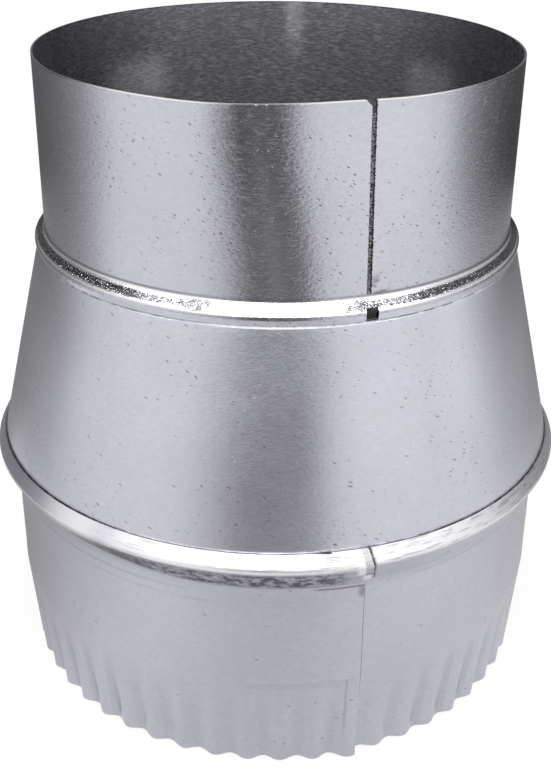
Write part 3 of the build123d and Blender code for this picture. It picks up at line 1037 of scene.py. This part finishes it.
    # painted shade under the lap's corner, and a ragged dark spot below it
    corner = productNode(
        tree, bandAt(tree, azimuth, c["seam"], c["cornerSpan"]), bandAt(tree, level, c["root"], c["cornerBand"])
    )
    colour = paintNode(tree, colour, productNode(tree, corner, c["cornerTint"]), paintedShadeColour)
    spot = productNode(
        tree,
        bandAt(tree, azimuth, c["seam"], c["spotSpan"]),
        bandAt(tree, level, c["root"], c["spotBand"]),
        stepNode(tree, ragged, *c["spotSteps"]),
    )
    colour = paintNode(tree, colour, productNode(tree, spot, c["spotTint"]), c["spotColour"])
    return colour, rough, height


print("crimped collar rolled", len(crimpedPiece.data.polygons))

for piece, node, details, changes in (
    (collarPiece, "upper_collar", upperCollarDetails, {
        "name": "collarZinc",
        "roughness": (0.12, 0.18),
        "grainHeight": 0.055,
        "flecks": {**zinc["flecks"], "Cell mm": 2.5, "Share": 0.27},
    }),
    (taperPiece, "taper", taperDetails, {
        "name": "taperZinc",
        "roughness": (0.27, 0.34),
        "grainHeight": 0.04,
        "grainTint": 0.45,
    }),
    (crimpedPiece, "crimped_collar", crimpedCollarDetails, {
        "name": "crimpedZinc",
        "roughness": (0.27, 0.34),
        "grainHeight": 0.04,
        "grainTint": 0.5,
        "flecks": {**zinc["flecks"], "Share": 0.025},
    }),
):
    piece.data.materials.append(galvanisedMaterial({**zinc, **changes}, details))
    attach(piece, "root")
    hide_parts(node)
print("finishes placed")

studio = {
    "worldLight": 0.8,
    "floorSize": 6.0,
    "floorGlow": 0.75,
    "screenRadius": 0.36,
    "screenHeight": 0.5,
    "ceilingHeight": 0.95,
    "ceilingRadius": 1.1,
    "ceilingLevel": 0.16,
    # azimuth and brightness of what the sheet mirrors: the screen from its foot to its top, and the table
    "screenFoot": [
        (-180, 0.95), (-166, 0.7), (-150, 0.26), (-125, 0.3), (-105, 0.4), (-90, 0.62), (-64, 0.98),
        (-40, 1.0), (-27, 0.85),
        (-16, 0.5), (-6, 0.2), (0, 0.28), (6, 0.2), (14, 0.42), (24, 0.95), (40, 1.04), (70, 0.96), (100, 0.6),
        (125, 0.38), (150, 0.3), (166, 0.7), (180, 0.95),
    ],
    "screenLow": [
        (-180, 0.95), (-167, 0.6), (-152, 0.12), (-118, 0.18), (-103, 0.25), (-90, 0.4), (-77, 0.78),
        (-58, 1.06), (-40, 1.0),
        (-27, 0.55), (-16, 0.05), (-6, 0.02), (0, 0.16), (6, 0.08), (14, 0.3), (24, 0.95), (40, 1.06), (68, 0.92),
        (80, 0.58), (92, 0.29), (106, 0.14), (122, 0.08), (152, 0.08), (167, 0.6), (180, 0.95),
    ],
    "screenMid": [
        (-180, 1.0), (-166, 0.75), (-150, 0.3), (-120, 0.34), (-95, 0.6), (-60, 1.0), (-36, 1.02), (-24, 0.9),
        (-12, 0.38),
        (0, 0.1), (12, 0.2), (24, 0.85), (36, 1.08), (80, 1.0), (110, 0.55), (145, 0.35), (166, 0.75), (180, 1.0),
    ],
    "screenTop": [
        (-180, 0.7), (-130, 0.3), (-102, 0.35), (-88, 0.75), (-78, 1.0), (-66, 0.8), (-54, 0.75), (-41, 1.05),
        (-29, 1.9), (-14, 2.5), (0, 2.6), (20, 2.3), (50, 1.4), (75, 1.0), (110, 0.6), (140, 0.4), (180, 0.7),
    ],
    "table": [
        (-180, 0.75), (-165, 0.6), (-150, 0.34), (-116, 0.34), (-90, 0.48), (-64, 0.72), (-39, 0.86),
        (-24, 0.82), (0, 0.77),
        (26, 0.82), (64, 0.87), (90, 0.74), (116, 0.64), (150, 0.62), (165, 0.68), (180, 0.75),
    ],
    "tableFar": [
        (-180, 0.9), (-160, 0.5), (-140, 0.35), (-120, 0.7), (-105, 1.5), (-92, 1.4), (-75, 0.9), (-40, 1.1),
        (-22, 1.0), (0, 1.0),
        (20, 0.9), (40, 1.2), (100, 1.0), (135, 0.5), (160, 0.5), (180, 0.9),
    ],
    "tableUnder": 0.15,  # the table inside the duct lies in its own shade
    "blendSpan": (30.0, 95.0),  # degrees from the front over which the blends below change
    # mm up the screen where low, middle and top begin and are full, each in front and at the sides
    "blends": ((56.0, 25.0), (80.0, 43.0), (88.0, 115.0), (132.0, 160.0), (215.0, 200.0), (265.0, 300.0)),
    # mm from the axis where the near table, the far table and the screen's foot begin and are full
    "tableRings": ((64.0, 72.0), (172.0, 190.0), (218.0, 242.0)),
    "tableRadii": (0.001, 0.06, 0.1, 0.2, 0.3),
    "screenTurns": 120,
    "floorDrop": 0.3,  # mm below the rim
    "screenLift": 0.1,  # mm above the floor
    "paperFade": (180.0, 700.0),  # mm from the axis over which the floor's shade fades out
    "paperColour": (0.9, 0.9, 0.9, 1),
    "paperRoughness": 0.9,
    "ceilingTurns": 64,
    "lampAim": (0, 0, 0.1),
    # name, place, size and brightness
    "lamps": [
        ("topSoftbox", (0.0, -0.25, 0.86), 0.6, 4.0),
        ("leftSoftbox", (-0.30, -0.135, 0.46), 0.14, 16.0),
        ("rightSoftbox", (0.30, -0.135, 0.46), 0.14, 16.0),
    ],
}


def rayFlag(tree):  # 1 for rays that should find the white room
    path = addNode(tree, "ShaderNodeLightPath")
    some = mathNode(tree, "MAXIMUM", path.outputs["Is Camera Ray"], path.outputs["Is Glossy Ray"])
    return mathNode(tree, "MAXIMUM", some, path.outputs["Is Transmission Ray"])


def curveNode(tree, azimuth, stops):  # brightness by azimuth, drawn as a smooth curve
    node = addNode(tree, "ShaderNodeFloatCurve")
    node.mapping.clip_max_y = 4.0
    points = node.mapping.curves[0].points
    points[0].location = (0, stops[0][1])
    points[-1].location = (1, stops[-1][1])
    for turn, level in stops[1:-1]:
        points.new((turn + 180) / 360, level)
    node.mapping.update()
    plug(tree, mathNode(tree, "DIVIDE", mathNode(tree, "ADD", azimuth, 180.0), 360.0), node.inputs["Value"])
    return node.outputs[0]


def stageMesh(name, verts, faces, material):
    mesh = bpy.data.meshes.new(name)
    mesh.from_pydata(verts, [], faces)
    mesh.materials.append(material)
    piece = bpy.data.objects.new(name, mesh)
    bpy.context.scene.collection.objects.link(piece)
    return piece


def reflectionOnly(piece):
    for flag in ("visible_camera", "visible_diffuse", "visible_transmission", "visible_shadow"):
        setattr(piece, flag, False)


scene = bpy.context.scene
scene.view_settings.view_transform = "Standard"
world = bpy.data.worlds.new("whiteRoom")
scene.world = world
world.use_nodes = True
backdrop = world.node_tree.nodes["Background"]
backdrop.inputs["Color"].default_value = (1, 1, 1, 1)
plug(
    world.node_tree,
    stepNode(world.node_tree, rayFlag(world.node_tree), 0.0, 1.0, studio["worldLight"], 1.0),
    backdrop.inputs["Strength"],
)

paper = bpy.data.materials.new("whitePaper")
paper.use_nodes = True
paperTree = paper.node_tree
paperShader = paperTree.nodes["Principled BSDF"]
paperShader.inputs["Base Color"].default_value = studio["paperColour"]
paperShader.inputs["Roughness"].default_value = studio["paperRoughness"]
paperShader.inputs["Specular IOR Level"].default_value = 0.0
glow = addNode(paperTree, "ShaderNodeEmission")
blend = addNode(paperTree, "ShaderNodeMixShader")
_, _, paperRadius = ringAxes(paperTree)
paperAway = stepNode(paperTree, paperRadius, *studio["paperFade"], studio["floorGlow"], 1.0)
plug(paperTree, productNode(paperTree, rayFlag(paperTree), paperAway), blend.inputs[0])
paperTree.links.new(paperShader.outputs[0], blend.inputs[1])
paperTree.links.new(glow.outputs[0], blend.inputs[2])
paperTree.links.new(blend.outputs[0], paperTree.nodes["Material Output"].inputs["Surface"])
half, floorLevel = studio["floorSize"] / 2, cadBox[0].z - studio["floorDrop"] * mm
floorCorners = [(x * half, y * half, floorLevel) for x, y in ((-1, -1), (1, -1), (1, 1), (-1, 1))]
stageMesh("floor", floorCorners, [(0, 1, 2, 3)], paper)

# table and round screen, which only show in the sheet's reflections
cloth = bpy.data.materials.new("screenCloth")
cloth.use_nodes = True
clothTree = cloth.node_tree
clothTree.nodes.remove(clothTree.nodes["Principled BSDF"])
clothAzimuth, clothHeight, clothRadius = ringAxes(clothTree)
foot, low, middle, top, near, far = [
    curveNode(clothTree, clothAzimuth, studio[key])
    for key in ("screenFoot", "screenLow", "screenMid", "screenTop", "table", "tableFar")
]
aside = mathNode(clothTree, "ABSOLUTE", clothAzimuth)
blends = [stepNode(clothTree, aside, *studio["blendSpan"], *edges) for edges in studio["blends"]]
wall = foot
for upper, start, full in zip((low, middle, top), blends[::2], blends[1::2]):
    wall = mixNode(clothTree, wall, stepNode(clothTree, clothHeight, start, full), upper)
bright = studio["tableUnder"]
for outer, ring in zip((near, far, wall), studio["tableRings"]):
    bright = mixNode(clothTree, bright, stepNode(clothTree, clothRadius, *ring), outer)
clothGlow = addNode(clothTree, "ShaderNodeEmission")
plug(clothTree, bright, clothGlow.inputs["Strength"])
clothTree.links.new(clothGlow.outputs[0], clothTree.nodes["Material Output"].inputs["Surface"])
screenTurns = studio["screenTurns"]
screenRings = [(radius, 0) for radius in (*studio["tableRadii"], studio["screenRadius"])]
screenRings.append((studio["screenRadius"], studio["screenHeight"]))
screenVerts, screenFaces = [], []
for ringRadius, ringHeight in screenRings:
    for azimuth in spread(-180, 180, screenTurns)[:-1]:
        x, y, z = ringPoint(azimuth, ringRadius / mm, ringHeight / mm)
        screenVerts.append((x, y, z + floorLevel + studio["screenLift"] * mm))
for ring in range(len(screenRings) - 1):
    for i in range(screenTurns):
        j = (i + 1) % screenTurns
        screenFaces.append([(ring + up) * screenTurns + k for up, k in ((0, i), (1, i), (1, j), (0, j))])
reflectionOnly(stageMesh("screen", screenVerts, screenFaces, cloth))

# dark ceiling above the soft boxes
ceilingShade = bpy.data.materials.new("ceilingShade")
ceilingShade.use_nodes = True
ceilingTree = ceilingShade.node_tree
ceilingTree.nodes.remove(ceilingTree.nodes["Principled BSDF"])
ceilingGlow = addNode(ceilingTree, "ShaderNodeEmission")
ceilingGlow.inputs["Strength"].default_value = studio["ceilingLevel"]
ceilingTree.links.new(ceilingGlow.outputs[0], ceilingTree.nodes["Material Output"].inputs["Surface"])
ceilingRadius, ceilingTurns = studio["ceilingRadius"], studio["ceilingTurns"]
ceilingVerts = [
    (ceilingRadius * math.sin(turn), ceilingRadius * math.cos(turn), studio["ceilingHeight"])
    for turn in spread(0, 2 * math.pi, ceilingTurns)[:-1]
]
reflectionOnly(stageMesh("ceiling", ceilingVerts, [tuple(range(ceilingTurns))], ceilingShade))

for name, place, size, level in studio["lamps"]:
    data = bpy.data.lights.new(name, "AREA")
    data.shape = "DISK"
    data.size = size
    data.energy = level * math.pi * math.pi * (size / 2) ** 2
    lamp = bpy.data.objects.new(name, data)
    lamp.location = place
    lamp.rotation_euler = (Vector(studio["lampAim"]) - Vector(place)).to_track_quat("-Z", "Y").to_euler()
    lamp.visible_camera = False
    scene.collection.objects.link(lamp)
print("studio lit")

camera = {
    "place": (-0.09, -326.6, 242.0),  # mm
    "down": 26.865,  # degrees
    "roll": 0.429,
    "focal": 1226.12,  # in pixels of a frame 768 high
    "frameHeight": 768,
}
down, roll = math.radians(camera["down"]), math.radians(camera["roll"])
ahead = Vector((0, math.cos(down), -math.sin(down)))
right = Vector((1, 0, 0))
above = Vector((0, math.sin(down), math.cos(down)))
xAxis = right * math.cos(roll) + above * math.sin(roll)
yAxis = above * math.cos(roll) - right * math.sin(roll)
lens = bpy.data.cameras.new("camera")
lens.sensor_width = 36
lens.lens = lens.sensor_width * camera["focal"] / camera["frameHeight"]
lens.clip_start = 0.01
cameraObject = bpy.data.objects.new("camera", lens)
turned = Matrix((xAxis, yAxis, -ahead)).transposed().to_4x4()
cameraObject.matrix_world = Matrix.Translation(Vector(camera["place"]) * mm) @ turned
scene.collection.objects.link(cameraObject)
scene.camera = cameraObject
print("camera set")
